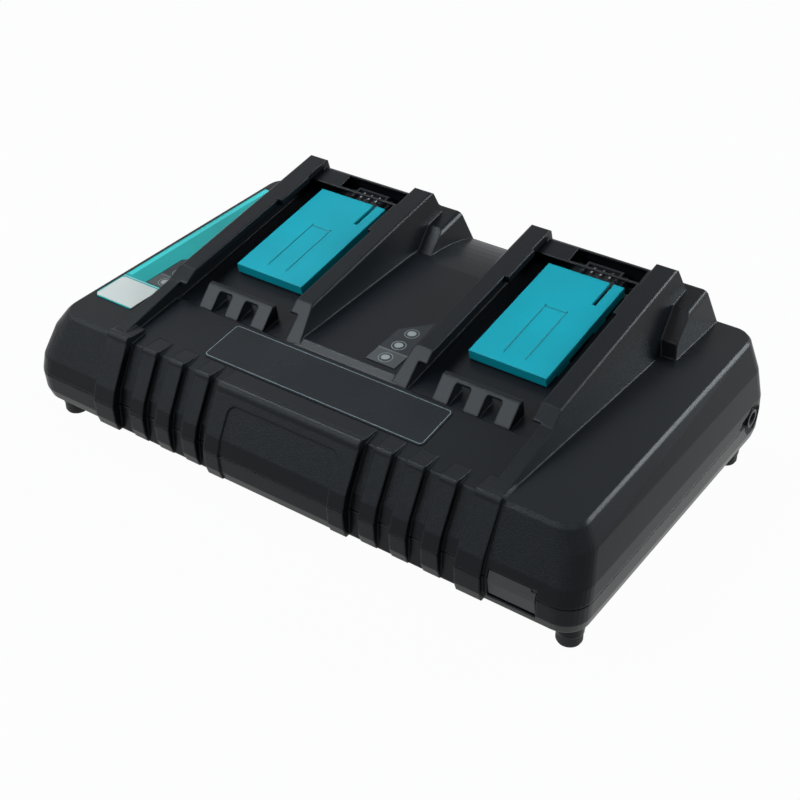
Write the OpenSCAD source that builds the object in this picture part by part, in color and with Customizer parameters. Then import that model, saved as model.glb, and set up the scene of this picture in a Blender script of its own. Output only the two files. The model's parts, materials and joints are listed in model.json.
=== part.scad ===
// Dual port charger for slide-on power tool batteries.
// Origin at the centre of the footprint on the floor, X along the front, Y to the back, Z up.

/* [Body] */
// Overall width of the housing at the parting line
body_w = 282; // [274:1:294]
// Overall depth, from the front bands to the rear wall
body_d = 170; // [166:1:178]
// Height of the parting line above the floor
parting_z = 26; // [25:0.5:27]
// Height of the lower shell's underside above the floor
belly_z = 13; // [12:0.5:14]
// Height of the crease where the front face starts to lean back
crease_z = 33; // [31:0.5:35]
// Height of the deck plane at the middle of the body
deck_z = 55.5; // [54.5:0.1:56]
// Rise of the deck towards the back, in degrees
deck_slope = 1.65; // [1:0.05:2.2]
// Radius of the vertical corners at the parting line
corner_r = 11.3; // [9:0.1:14]
// Wall of the shells
wall = 2.6; // [2:0.2:3.2]
// Open line between the two shells
parting_gap = 0.5; // [0.2:0.1:0.8]

/* [Ports] */
// Distance between the centres of the two battery ports
port_pitch = 125; // [122:1:129]
// Rise of the battery ports towards the back, in degrees
port_slope = 10.5; // [9:0.5:12]
// Height of the channel floor at the reference point of a port
port_z = 66.1; // [65:0.2:68]
// Distance from the rear wall to the back of the rails' tops
port_y = 13.5; // [12:0.5:16]
// Half of the gap between the rail lips, front stretch
lip_front = 27; // [26:0.5:28]
// Half of the gap between the rail lips, widest stretch of the lips
lip_mid = 25; // [24:0.5:25.5]
// Half of the gap between the rail lips, back stretch
lip_back = 26; // [25.5:0.5:26.5]
// Half of the width over the two rails, at their tops
rail_outer = 35.7; // [35:0.1:37]
// Height of the rails above the channel floor
rail_h = 10.8; // [10:0.2:12]
// Thickness of the overhanging lips
lip_t = 3.4; // [3:0.2:4]
// Lean of the outer sides of the rails, in degrees
rail_draft = 16; // [12:1:18]

/* [Terminal covers] */
// Width of a terminal cover
cover_w = 37; // [34:0.5:39]
// Length of a terminal cover
cover_l = 64.6; // [62:0.2:66]
// Height of a terminal cover's top above the channel floor
cover_top = 5; // [4.8:0.1:5.2]
// Skin of a terminal cover
cover_skin = 1.9; // [1.6:0.1:2.2]
// How far a terminal cover slides back
cover_travel = 14; // [10:0.5:14]
// Free space between the terminal cover and what it passes
cover_gap = 0.5; // [0.4:0.1:0.7]

/* [Front] */
// How far the ground between the front ribs is set back
front_recess = 2.4; // [1.8:0.1:2.8]
// How far the bands and the middle panel stand out over the ends
band_out = 2; // [1.5:0.1:2.5]
// Width of each narrow rib on the front
rib_w = 7.8; // [6:0.2:9]
// Distance between the narrow ribs
rib_pitch = 15; // [13:0.5:16]
// Half of the width of the middle panel
panel_half = 36.5; // [34:0.5:38]
// Width of each wide band in front of an outer rail
band_w = 11.5; // [10:0.5:12.5]

/* [Cooling] */
// Side of a square fan frame
fan_side = 50; // [48:1:52]
// Thickness of a fan frame
fan_t = 12; // [10:0.5:14]
// Number of blades on a fan rotor
fan_blades = 7; // [5:1:9]

/* [Feet] */
// Distance of the feet's centres from the sides of the housing
foot_side = 9.5; // [9:0.5:13]
// Distance of the feet's centres from the rear wall, and the same from the front
foot_end = 16; // [15:0.5:20]
// Radius of a rubber foot at the floor
foot_r = 5.3; // [4.8:0.1:5.5]
// Height of the rubber below the foot boss
foot_h = 5; // [4:0.5:6]

/* [Hidden] */
$fn = 32;
eps = 0.01;

// colours
black_c = [0.09, 0.10, 0.12];
teal_c = [0.0, 0.60, 0.68];
slate_c = [0.18, 0.20, 0.23];
rubber_c = [0.05, 0.05, 0.05];
brass_c = [0.80, 0.65, 0.30];
steel_c = [0.65, 0.66, 0.68];
board_c = [0.05, 0.30, 0.16];

// places on the body
half_w = body_w / 2;
half_d = body_d / 2;
end_y = -half_d + band_out;                 // front of the two ends, at the parting line
crease_in = 2;                              // the front is this much further back at the crease
lean = 28.5;                                // lean of the front face above the crease
mid_z = 45;                                 // height where the ends start to round in
mid_in = 3.4;                               // how far the ends have come in there
deck_front = end_y + 12.8;                  // front edge of the deck
deck_back = half_d - 1.3;                   // rear edge of the deck, before its bevel
deck_half = half_w - 8.8;                   // half width of the deck, before its bevel
deck_bevel = 1.2;
belly_side = 1.3;                           // how far the belly's edge lies in from the sides
belly_front = 2.2;                          // the same at the front
belly_turn = 4.5;                           // height over which the belly's edge turns up
rail_edge = 0.6;                            // broken edge along the rails and lips
roof = 4.8;                                 // the deck's skin
front_skin = front_recess + wall;
rim_z = parting_z - parting_gap / 2;        // top of the lower shell
seam_z = parting_z + parting_gap / 2;       // bottom of the upper shell
floor_z = belly_z + wall;                   // inside of the lower shell
foot_x = half_w - foot_side;
foot_y = half_d - foot_end;
foot_peg_r = 3;

function deck_at(y) = deck_z + y * tan(deck_slope);
// line of the front face above the crease: its y at the height z, moved out by o
function face_y(z, o = 0) = end_y + crease_in - o + (z - crease_z) * tan(lean);

// places of the ports, in the frame of a port: u across, v up the slope, w square to the floor
port_low = -22;                             // underside of the solids that make up a port
mouth_v = -60.4;                            // foot of the step at the mouth of a port
mouth_w = 1;
v_front_outer = -49.5;                      // front of an outer rail's top
v_front_inner = -45;                        // front of an inner rail's top
v_wall = cover_l / 2 + cover_travel + cover_gap;
v_back = v_wall + 0.5;                      // back of the rails' tops
seat_y = half_d - port_y - v_back * cos(port_slope);
groove_half = 31;                           // half width over the two grooves under the lips
groove_end = 4;                             // wall left behind the grooves
block_lean = 8;                             // lean of the back of the rails
v_comb = -51.5;                             // top edge of the toothed step
comb_half = 18.3;
comb_w = 7.5;
comb_r = 0.9;                               // rounding of the gaps between the teeth
hood_v = 35.5;
hood_w = cover_top + cover_gap;
hood_t = 1.4;                               // thickness of the hood over the cover
slab = 2.5;                                 // thickness of the channel floor

// buttress beside the right rail, and the block behind the port
wing_w = -0.3;                              // height of its top over the channel floor
wing_half = 47;                             // its right edge, from the middle of the port
wing_draft = 11;
wing_v = [19.5, 22.6, 37.3];                // foot, turn and top of its front
wing_turn_w = -7.2;
wing_foot_w = -12.9;
wing_round = 1.8;
rear_v = v_back + 5.2;                      // rear edge of the block's top
rear_lean = 11.3;
rear_foot_w = -19.2;                        // where the block's back meets the deck

// apron in front of the ports and the floor between them
apron_y = end_y + 15.7;                     // front edge of the apron
apron_z = 51.3;
step_y = seat_y - 59.8;                     // back edge of the apron, at the foot of the step
step_z = 56.1;
step_d = 3.3;                               // depth and rise of the step's sloping face
step_h = 1.8;
apron_half = port_pitch / 2 + rail_outer;
apron_slope = atan((step_z - apron_z) / (step_y - apron_y));
apron_l = (step_y - apron_y) / cos(apron_slope);
mid_half = 27;
mid_front = [step_y + step_d, step_z + step_h];
mid_top = [half_d - 39, 64.3];              // highest line of the floor between the ports
mid_drop = 4.9;                             // how far it falls from there to the rear wall
mid_rear = deck_back;
mid_skin = 2.8;
mid_slope = atan((mid_top[1] - mid_front[1]) / (mid_top[0] - mid_front[0]));
function mid_at(y) = mid_front[1] + (y - mid_front[0]) * tan(mid_slope);
function mid_fall(y) = mid_top[1] - mid_drop * pow((y - mid_top[0]) / (mid_rear - mid_top[0]), 3);

// ribs, bands and panel on the front
bar_z = 51.6;                               // height of the ribs' upper ends
bar_end = 16;                               // depth of the bars' solids behind the front
band_cap_r = 2.4;
panel_cap_r = 3.2;
rib_cap_r = 1.8;
rib_out = 0.5;
rib_mid = (panel_half + port_pitch / 2 + rail_outer - band_w) / 2;
band_x = port_pitch / 2 + rail_outer - band_w / 2 + 2.2;
v_band = (face_y(bar_z + 1.2) + 3.8 - seat_y) / cos(port_slope);    // where a rail meets its band
field_half = panel_half - 8;                // smooth field on the middle panel
field_top = 47;
field_r = 4;
field_in = 0.7;

// fans, board and screws
screw_d = 3.6;
screw_head_d = 7.4;
screw_head_h = 3;
screw_seat = 5;                             // from the belly to the seat of a screw's head
screw_l = 22;
screw_side = 22;                            // from the sides to the outer screws
screw_front_y = end_y + 28;
screw_rear_y = half_d - 24;
screw_x = [screw_side - half_w, 0, half_w - screw_side];
boss_r = 5;
small_screw_d = 2.4;                        // bore of the board and fan screws
small_head_d = 5;
post_r = 3.2;
fan_y = seat_y + 11;
fan_z = 19;
fan_hole = fan_side / 2 - 4;                // from a fan's centre to its screws, each way
fan_gap = 0.8;                              // free space round the blades
fan_head = 1.8;
fan_head_d = 4.4;
hub_r = 9;
shaft_r = 1.5;
shaft_gap = 0.05;
blade_pitch = 38;
board_z = 21;
board_t = 1.6;
board_gap = 4;                              // free space between the board and the screw bosses
board_front = end_y + 22;
board_back = fan_y - fan_side / 2 - 5;
board_l = 2 * (half_w - screw_side - boss_r - board_gap);
board_d = board_back - board_front;
board_y = (board_back + board_front) / 2;
board_hole = [board_l / 2 - 4, board_d / 2 - 5];
comp_z = board_z + board_t;                 // upper face of the board

// outlet at the right end of the front
usb_w = 21;
usb_side = 17.5;                            // from the right side to the outlet's cover
usb_x1 = half_w - usb_side;
usb_x0 = usb_x1 - usb_w;
usb_mid = (usb_x0 + usb_x1) / 2;
usb_hinge_z = 18.2;
usb_hinge_y = end_y + 2.3;
usb_top = 29.6;
usb_gap = 0.35;
usb_pocket = 3.9;                           // depth of the rubber cover's pocket
usb_wall = 6;                               // depth of the thicker wall round the outlet
usb_edge = 3.4;                             // from the pocket's sides to the outlet's window
usb_pin = 1.6;                              // length of each hinge pin beyond the pocket
usb_pin_r = 0.8;
usb_pin_gap = 0.06;
socket_z = 20;
socket = [14, 14, 7];
socket_wall = 0.8;
socket_mouth = 11;                          // depth of the socket's opening

// bush of the mains cord, on the parting line of the right side
inlet_y = half_d - 16;
inlet_z = parting_z;
inlet_r = 4.6;                              // half width over the flats of its eight-sided neck
inlet_gap = 0.05;
inlet_flange = 1.6;
cord_bore = 3;
inlet_deep = 9;                             // depth of the bush in the wall
inlet_flare = 3.6;
hollow_l = 24;                              // hollow in the side, in front of the bush

// openings of a port and the parts that fill them
window_u0 = -11;
window_u1 = 23;
window_v = 34.6;                            // front edge of the window over the rear contacts
slot_u = 12.5;                              // slot of the cover, and the fin that stands in it
slot_v = 16.4;
slot_w = 2;
guide_u = cover_w / 2 - cover_skin / 2;     // slots of the cover's hooks
tab_v = [-24, 6];
tab_l = 10;
hook_w = 3.2;
hook_t = 1.4;
block_u0 = -8;
block_u1 = 13.8;                            // right side of the block, clear of the cover's hooks
block_v0 = -22;
block_v1 = 44.4;
block_gap = 0.3;
block_deep = 4;                             // the block's flange below the floor
shroud_u0 = -5.6;
shroud_u1 = 12.05;
shroud_v = 37;
blade_t = 0.8;
power_blades = [-4, 1.4, 6.8];
power_v = [-16, 26];
signal_blades = [-1.2, 3.2, 7.6];
signal_v = [38.5, 42.5];

// return spring of a cover
spring_w = -8.5;
spring_u = -guide_u - 0.2;
spring_r = 2.6;
spring_wire = 0.7;
spring_v0 = tab_v[1] + tab_l;
spring_v1 = v_wall;
spring_turns = 8;
lug_w = 3.2;
lug_t = 2;

// charge indicators: a foil with three windows beside the left rail of each port
ind_z = 46.5;
ind_t = 1.2;
ind_board = [16, 34];
ind_post_r = 2;
ind_post = [6, 14];
window_r = 2;
window_gap = 0.08;
window_pitch = 9.6;
window_y = [seat_y - 42.2, seat_y - 39.5];  // middle window: left port, right port
label_t = 0.35;
foil_front = 14;
foil_back = 20.5;
foil_turn = 9.6;                            // where the foil's left edge turns in
foil_rail = 5.4;                            // the foil ends this far from the rail's top edge
foil_gap = 0.4;
foil_tip = [1.3, 3.8];                      // width of the foil's rear edge: left port, right port

// plate on the apron and long foil on the deck
plate_half = 56.8;
plate_v = [7.6, apron_l - 1.65];
plate_r = 2.5;
side_edge = 3.2;                            // from the deck's edge to the foil
side_rail = 8;                              // from the rail's top edge to the foil
side_y = [deck_front + 17.9, deck_back - 15.1];
side_corner = 2.5;
// the indicator foil and the long foil share the strip beside the left rail
strip = deck_half - side_edge - foil_gap - apron_half - foil_rail;
foil_left = [0.28 * strip, 7];              // from the windows to the foil's left edge: left port, right port
window_side = [foil_rail + 0.208 * strip, 13.1];    // from the rail's top edge to the windows
foil_rise = (foil_back - foil_turn) / (window_side[0] - foil_rail - foil_tip[0] + foil_left[0]);

// parts on the board
core = [36, 34, 25];
core_at = [-66, board_y - 3];
core_slot = [8, 13];
coil_r = 12.2;
sink_x = [-20, 44];
sink = [3, 48, 22];
sink_fins = 7;
sink_fin = [7, 1.5, 19];
cap_r = [9, 6];
cap_h = [23, 20];
cap_row = [16, 72];
cap_pitch = [22, 16];
choke_at = [94, board_y - 3];
choke_r = [6.2, 11.2];
choke_t = 10;
buzzer_at = [-100, board_y + 7];
buzzer_r = 7;
buzzer_h = 8;

// cooling slots
vent_n = 9;
vent_w = 2.2;
vent_pitch = 5;
vent_z = [33, 49];
intake_w = 2.6;
intake_l = 38;

module at_port(s) {
    translate([s * port_pitch / 2, seat_y, port_z]) rotate([port_slope, 0, 0]) children();
}

// extrudes an outline drawn in Y and Z along X
module along_x(x0, x1) {
    translate([x0, 0, 0]) rotate([90, 0, 90]) linear_extrude(x1 - x0) children();
}

// thin plate with round corners, the brick of the moulded shells
module slice(half, y0, y1, r, t = eps) {
    for (x = [-half + r, half - r], y = [y0 + r, y1 - r]) translate([x, y, 0]) cylinder(r = r, h = t);
}

module on_deck(w = 0) {
    translate([0, 0, deck_z]) rotate([deck_slope, 0, 0]) translate([0, 0, w]) children();
}

// moulded outer form of the upper shell; "in" shrinks it for the cavity
module upper_form(in = 0, front_in = 0, top_in = 0) {
    r = corner_r - in / 2;
    hull() {
        translate([0, 0, seam_z - (in > 0 ? 1 : 0)]) slice(half_w - in, end_y + front_in, half_d - in, r);
        translate([0, 0, crease_z])
            slice(half_w - 0.5 - in, end_y + crease_in + front_in, half_d - 0.3 - in, r - 0.8);
        translate([0, 0, mid_z])
            slice(half_w - mid_in - in, face_y(mid_z) + front_in, half_d - 0.6 - in, r - 1.4);
        on_deck(-deck_bevel - top_in)
            slice(deck_half - in, deck_front - 1.2 + front_in, deck_back + 0.7 - in, r - 2.2);
        on_deck(-eps - top_in)
            slice(deck_half - deck_bevel - in, deck_front + 0.4 + front_in, deck_back - in, r - 2.8);
    }
}

module lower_form(in = 0) {
    r = corner_r - in / 2;
    front_in = in > 0 ? front_skin : 0;
    hull() {
        translate([0, 0, rim_z - eps + (in > 0 ? 1 : 0)])
            slice(half_w - in, end_y + front_in, half_d - in, r);
        translate([0, 0, belly_z + belly_turn])
            slice(half_w - 0.3 - in, end_y + 0.6 + front_in, half_d - 0.3 - in, r - 0.3);
        translate([0, 0, belly_z + (in > 0 ? wall : 0)])
            slice(half_w - belly_side - in, end_y + belly_front + front_in, half_d - belly_side - in, r - 1);
    }
}

// front outlines, drawn in Y and Z; o is how far they stand out over the two ends
module face_outline(o, top_z) {
    polygon([
        [face_y(top_z, o), top_z],
        [face_y(crease_z, o), crease_z],
        [end_y - o, parting_z],
        [end_y + 0.6 - o, belly_z + belly_turn],
        [end_y + belly_front - o, belly_z],
        [end_y + bar_end, belly_z],
        [end_y + bar_end, top_z]
    ]);
}

// a raised bar down the front, with a round cap at the edge of the deck
module front_bar(x0, x1, o, cap_r, cap_z) {
    along_x(x0, x1) {
        face_outline(o, cap_z);
        translate([face_y(cap_z, o) + cap_r * 0.88, cap_z - cap_r * 0.1]) circle(r = cap_r);
        translate([face_y(cap_z, o) + cap_r, cap_z - 4]) square([9, 4 + cap_r * 0.7]);
    }
}

module front_bars() {
    front_bar(-panel_half, panel_half, band_out, panel_cap_r, bar_z - 0.6);
    for (s = [-1, 1]) {
        for (i = [-1, 0, 1]) {
            x = s * (rib_mid + i * rib_pitch);
            front_bar(x - rib_w / 2, x + rib_w / 2, rib_out, rib_cap_r, bar_z);
        }
        front_bar(s * band_x - band_w / 2, s * band_x + band_w / 2, band_out, band_cap_r, bar_z + 1.2);
    }
}

// the ground between the bars is set back; the recess runs out to nothing at the belly
module front_ground_cut() {
    top = deck_z + 5;
    along_x(-band_x, band_x)
        polygon([
            [face_y(top, -front_recess), top],
            [face_y(crease_z, -front_recess), crease_z],
            [end_y + front_recess, parting_z],
            [end_y + belly_front, belly_z],
            [end_y + belly_front, belly_z - 1],
            [end_y - bar_end, belly_z - 1],
            [end_y - bar_end, top]
        ]);
}

// the deck is cut down to the apron between the outer rails
module apron_cut() {
    along_x(-apron_half + 2, apron_half - 2)
        polygon([
            [apron_y - 8, apron_z - 8 * tan(apron_slope)],
            [step_y, step_z],
            [step_y, step_z + 20],
            [apron_y - 8, step_z + 20]
        ]);
}

// field with round top corners on the middle panel
module panel_field() {
    intersection() {
        along_x(-field_half, field_half) difference() {
            face_outline(band_out + 5, field_top);
            face_outline(band_out - field_in, field_top + 5);
        }
        translate([0, -half_d / 2, 0]) rotate([90, 0, 0]) linear_extrude(half_d) {
            translate([-field_half, 0]) square([2 * field_half, field_top - field_r]);
            translate([-field_half + field_r, 0]) square([2 * (field_half - field_r), field_top]);
            for (k = [-1, 1])
                translate([k * (field_half - field_r), field_top - field_r]) circle(r = field_r);
        }
    }
}

// cross-section of a port across the rails, in U and W
module port_section(half, top_w) {
    grow = (top_w - port_low) * tan(rail_draft);
    slip = rail_edge * tan(rail_draft);
    polygon([
        [-half + rail_edge, top_w], [half - rail_edge, top_w], [half + slip, top_w - rail_edge],
        [half + grow, port_low], [-half - grow, port_low], [-half - slip, top_w - rail_edge]
    ]);
}

module along_v(v0, v1) {
    translate([0, v1, 0]) rotate([90, 0, 0]) linear_extrude(v1 - v0) children();
}

// back of the rails, and back of the block behind the port, at the height w
function back_v(w) = v_back + (rail_h - w) * tan(block_lean);
function block_v(w) = rear_v + (wing_w - w) * tan(rear_lean);

// side outline of a rail, in V and W
module rail_outline(outer) {
    polygon(concat(
        outer ? [[v_band, port_low], [v_band, 5.6], [-57.5, 7.4], [v_front_outer, rail_h]]
              : [[-66, port_low], [mouth_v, mouth_w], [v_front_inner, rail_h]],
        [[v_back - 1, rail_h], [back_v(rail_h - 1), rail_h - 1], [back_v(port_low), port_low]]
    ));
}

module rail(side, outer) {
    far = 60;
    difference() {
        intersection() {
            along_v(-100, far) port_section(rail_outer, rail_h);
            along_x(side > 0 ? 20 : -far, side > 0 ? far : -20) rail_outline(outer);
        }
        // the lips stand out by different amounts along the rail
        lip_cut(side, -100, 10, lip_front);
        lip_cut(side, 9.9, 31.1, lip_mid);
        lip_cut(side, 31, 70, lip_back);
        // groove that holds the battery's tongue
        translate([side > 0 ? 0 : -groove_half, -100, 0])
            cube([groove_half, 100 + back_v(rail_h) - groove_end, rail_h - lip_t]);
        translate([side > 0 ? 0 : -lip_front, -100, -30]) cube([lip_front, 100 + back_v(0) - 2, 30]);
    }
}

module lip_cut(side, v0, v1, half) {
    edge = rail_edge / 2;
    mirror([side > 0 ? 0 : 1, 0, 0]) along_v(v0, v1)
        polygon([
            [0, -30], [half, -30], [half, rail_h - edge], [half + edge + 1, rail_h + 1], [0, rail_h + 1]
        ]);
}

// toothed step at the mouth of a port
module comb() {
    tooth = comb_half * 2 / 5;
    leg = 1.5;
    difference() {
        along_x(-comb_half, comb_half) polygon([
            [mouth_v, mouth_w], [v_comb, comb_w], [v_comb + 2.2, comb_w], [v_comb + 2.2, -1.5], [mouth_v, -3]
        ]);
        for (i = [-1, 1]) translate([i * tooth, 0, 0]) along_v(-70, -40) {
            translate([-tooth / 2, -4]) square([tooth, comb_w + 4 - 1.1 - comb_r]);
            translate([-tooth / 2 + comb_r, 0]) square([tooth - 2 * comb_r, comb_w - 1.1]);
            for (k = [-1, 1])
                translate([k * (tooth / 2 - comb_r), comb_w - 1.1 - comb_r]) circle(r = comb_r);
        }
    }
}

// the port seen from above: rails, floor, comb, hood and buttress
module port_body(s) {
    at_port(s) {
        rail(1, s > 0);
        rail(-1, s < 0);
        // channel floor
        along_x(-rail_outer, rail_outer) polygon([
            [mouth_v - 0.6, -4], [mouth_v - 0.6, 0], [back_v(0) - 1, 0],
            [back_v(-slab) - 1, -slab], [-56, -slab]
        ]);
        comb();
        // hood over the back of the channel, and the block behind it
        along_x(-rail_outer, rail_outer) polygon([
            [hood_v, hood_w], [hood_v, hood_w + 0.7],
            [v_back - 2.2, hood_w + hood_t], [v_back - 0.8, hood_w + hood_t - 0.5],
            [v_back + 0.8, hood_w - 0.6], [rear_v, wing_w], [block_v(rear_foot_w), rear_foot_w],
            [block_v(rear_foot_w) - 3, port_low], [v_wall, port_low], [v_wall, hood_w]
        ]);
        wing();
    }
}

// buttress beside the right rail
module wing() {
    drop = wing_w - port_low + 2;
    intersection() {
        along_v(0, rear_v + 10) polygon([
            [20, wing_w - drop], [20, wing_w], [wing_half - wing_round, wing_w],
            [wing_half - 0.3 * wing_round, wing_w - 0.3 * wing_round],
            [wing_half + wing_round * tan(wing_draft), wing_w - wing_round],
            [wing_half + drop * tan(wing_draft), wing_w - drop]
        ]);
        along_x(rail_outer - 4, 70) polygon([
            [wing_v[0], port_low], [wing_v[0], wing_foot_w], [wing_v[1], wing_turn_w], [wing_v[2], wing_w],
            [rear_v, wing_w], [block_v(rear_foot_w), rear_foot_w], [block_v(rear_foot_w) - 3, port_low]
        ]);
    }
}

// space under a port, open to the inside of the housing
module port_cavity(s) {
    at_port(s) {
        along_x(-rail_outer + 2, rail_outer - 2)
            polygon([[-46, -slab], [v_wall, -slab], [v_wall, port_low - 2], [-46, -16]]);
        // room for the sliding cover below the hood
        translate([-cover_w / 2 - cover_gap, -30, eps])
            cube([cover_w + 2 * cover_gap, 30 + v_wall, hood_w - eps]);
    }
}

module port_openings(s) {
    at_port(s) {
        // window over the rear contacts, in the hood and in the floor
        translate([window_u0, window_v + 2, -20]) cube([window_u1 - window_u0, 8.6, 40]);
        translate([window_u0, window_v, -20]) cube([window_u1 - window_u0, v_wall - window_v, 20 + hood_w]);
        // opening for the terminal block
        translate([block_u0, block_v0, -slab - 1]) cube([block_u1 - 0.2 - block_u0, 57, slab + 2]);
        // guide slots of the cover's hooks
        for (k = [-1, 1], v = tab_v)
            translate([k * guide_u - cover_skin / 2 - cover_gap, v - cover_gap, -slab - 1])
                cube([cover_skin + 2 * cover_gap, tab_l + cover_travel + 2 * cover_gap, slab + 2]);
    }
}

// rear stretch of the floor between the ports, which rolls over to the rear wall, lowered by o
function mid_line(y1, o) = let (steps = 8) [
    for (i = [0:steps]) let (y = mid_top[0] + (y1 - mid_top[0]) * i / steps) [y, mid_fall(y) - o]
];

module mid_floor() {
    along_x(-mid_half, mid_half) polygon(concat(
        [[step_y, mid_z], [step_y, step_z], mid_front],
        mid_line(mid_rear - 1, 0),
        [[mid_rear, mid_fall(mid_rear) - 1], [mid_rear, mid_z]]
    ));
}

module mid_cavity() {
    y0 = mid_front[0] + mid_skin;
    y1 = mid_rear - mid_skin;
    along_x(-mid_half + mid_skin, mid_half - mid_skin) polygon(concat(
        [[y0, mid_z], [y0, mid_at(y0) - mid_skin]],
        mid_line(y1, mid_skin),
        [[y1, mid_z]]
    ));
}

module apron() {
    along_x(-apron_half, apron_half)
        polygon([[apron_y, apron_z], [step_y, step_z], [step_y, apron_z - 3], [apron_y, apron_z - 3]]);
}

// thicker wall round the outlet
module usb_frame() {
    translate([usb_x0 - 2.5, end_y + usb_edge, floor_z - 1])
        cube([usb_w + 5, usb_wall - usb_edge, usb_top + 2.5 - floor_z]);
}

// pocket of the rubber cover, the outlet's window and the bores of the hinge
module usb_cut() {
    translate([usb_x0, end_y - 4, usb_hinge_z - 1.8])
        cube([usb_w, 4 + usb_pocket, usb_top - usb_hinge_z + 1.8]);
    translate([usb_x0 + usb_edge, end_y - 4, usb_hinge_z + 2])
        cube([usb_w - 2 * usb_edge, 4.1 + usb_wall, usb_top - usb_hinge_z - 4]);
    translate([usb_x0 - usb_pin, usb_hinge_y, usb_hinge_z]) rotate([0, 90, 0])
        cylinder(r = usb_pin_r + usb_pin_gap, h = usb_w + 2 * usb_pin, $fn = 24);
}

// eight-sided prism or pyramid along X, from the place x, with flats r1 and r2 from its axis
module eight_sided(x, r1, r2, h) {
    translate([x, inlet_y, inlet_z]) rotate([0, 90, 0]) rotate([0, 0, 22.5])
        cylinder(r1 = r1 / cos(22.5), r2 = r2 / cos(22.5), h = h, $fn = 8);
}

// eight-sided seat of the cord's bush, with a flared mouth and a hollow that runs out to the front
module inlet_cut() {
    eight_sided(half_w - 14, inlet_r, inlet_r, 20);
    eight_sided(half_w - 2.4, inlet_r, inlet_r + inlet_flare, 3);
    translate([half_w + 1.6, inlet_y - hollow_l, inlet_z + 2]) rotate([-90, 0, 0])
        cylinder(r1 = 0.4, r2 = inlet_r, h = hollow_l);
}

// thicker wall round the inlet
module inlet_pad() {
    translate([half_w - 6.6, inlet_y - hollow_l + 2, inlet_z - 7]) cube([5, hollow_l - 1, 16]);
    eight_sided(half_w - 8, inlet_r + 2.8, inlet_r + 2.8, 5.2);
}

function corner_list() = [for (x = screw_x, y = [screw_front_y, screw_rear_y]) [x, y]];
function foot_list() = [for (x = [-foot_x, foot_x], y = [-foot_y, foot_y]) [x, y]];
function board_posts() = [for (i = [-1, 1], k = [-1, 1]) [i * board_hole[0], board_y + k * board_hole[1]]];
function fan_posts(s) = [
    for (i = [-1, 1], k = [-1, 1]) [s * port_pitch / 2 + i * fan_hole, fan_y + k * fan_hole]
];
function vent_x(s, i) = s * port_pitch / 2 + (i - (vent_n - 1) / 2) * vent_pitch;
function side_of(s) = s > 0 ? 1 : 0;
function window_x(s) = s > 0 ? apron_half - 2 * rail_outer - window_side[1] : -apron_half - window_side[0];
function window_places(s) = [for (i = [-1, 0, 1]) [window_x(s), window_y[side_of(s)] + i * window_pitch]];
function indicator_posts(s) = [for (k = [-1, 1]) window_places(s)[1] + k * ind_post];
function surface_at(s, y) = s > 0 ? mid_at(y) : deck_at(y);

module top_housing() {
    color(black_c) difference() {
        union() {
            difference() {
                union() {
                    difference() {
                        upper_form();
                        apron_cut();
                    }
                    apron();
                    mid_floor();
                }
                front_ground_cut();
            }
            intersection() {
                front_bars();
                translate([-half_w, -half_d, seam_z]) cube([body_w, body_d, 100]);
            }
            for (s = [-1, 1]) port_body(s);
        }
        difference() {
            union() {
                upper_form(wall, front_skin, roof);
                mid_cavity();
            }
            for (p = corner_list()) translate([p[0], p[1], seam_z - 1]) cylinder(r = boss_r, h = 60);
            for (s = [-1, 1], p = indicator_posts(s))
                translate([p[0], p[1], ind_z + ind_t]) cylinder(r = ind_post_r, h = 12);
            usb_frame();
            inlet_pad();
        }
        for (p = corner_list()) translate([p[0], p[1], seam_z - 1]) cylinder(d = screw_d, h = 18);
        for (s = [-1, 1]) {
            port_cavity(s);
            port_openings(s);
            for (p = window_places(s)) translate([p[0], p[1], mid_z]) cylinder(r = window_r, h = 20);
        }
        panel_field();
        usb_cut();
        inlet_cut();
        rear_vents();
        translate([-half_w - 1, -half_d - 1, -1]) cube([body_w + 2, body_d + 2, seam_z + 1]);
    }
}

module rear_vents() {
    for (s = [-1, 1], i = [0:vent_n - 1])
        translate([vent_x(s, i) - vent_w / 2, half_d - 12, vent_z[0]])
            cube([vent_w, 20, vent_z[1] - vent_z[0]]);
}

module intake_slots() {
    for (s = [-1, 1], i = [0:vent_n - 1])
        translate([vent_x(s, i) - intake_w / 2, fan_y - intake_l / 2, belly_z - 1])
            cube([intake_w, intake_l, wall + 3]);
}

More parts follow.
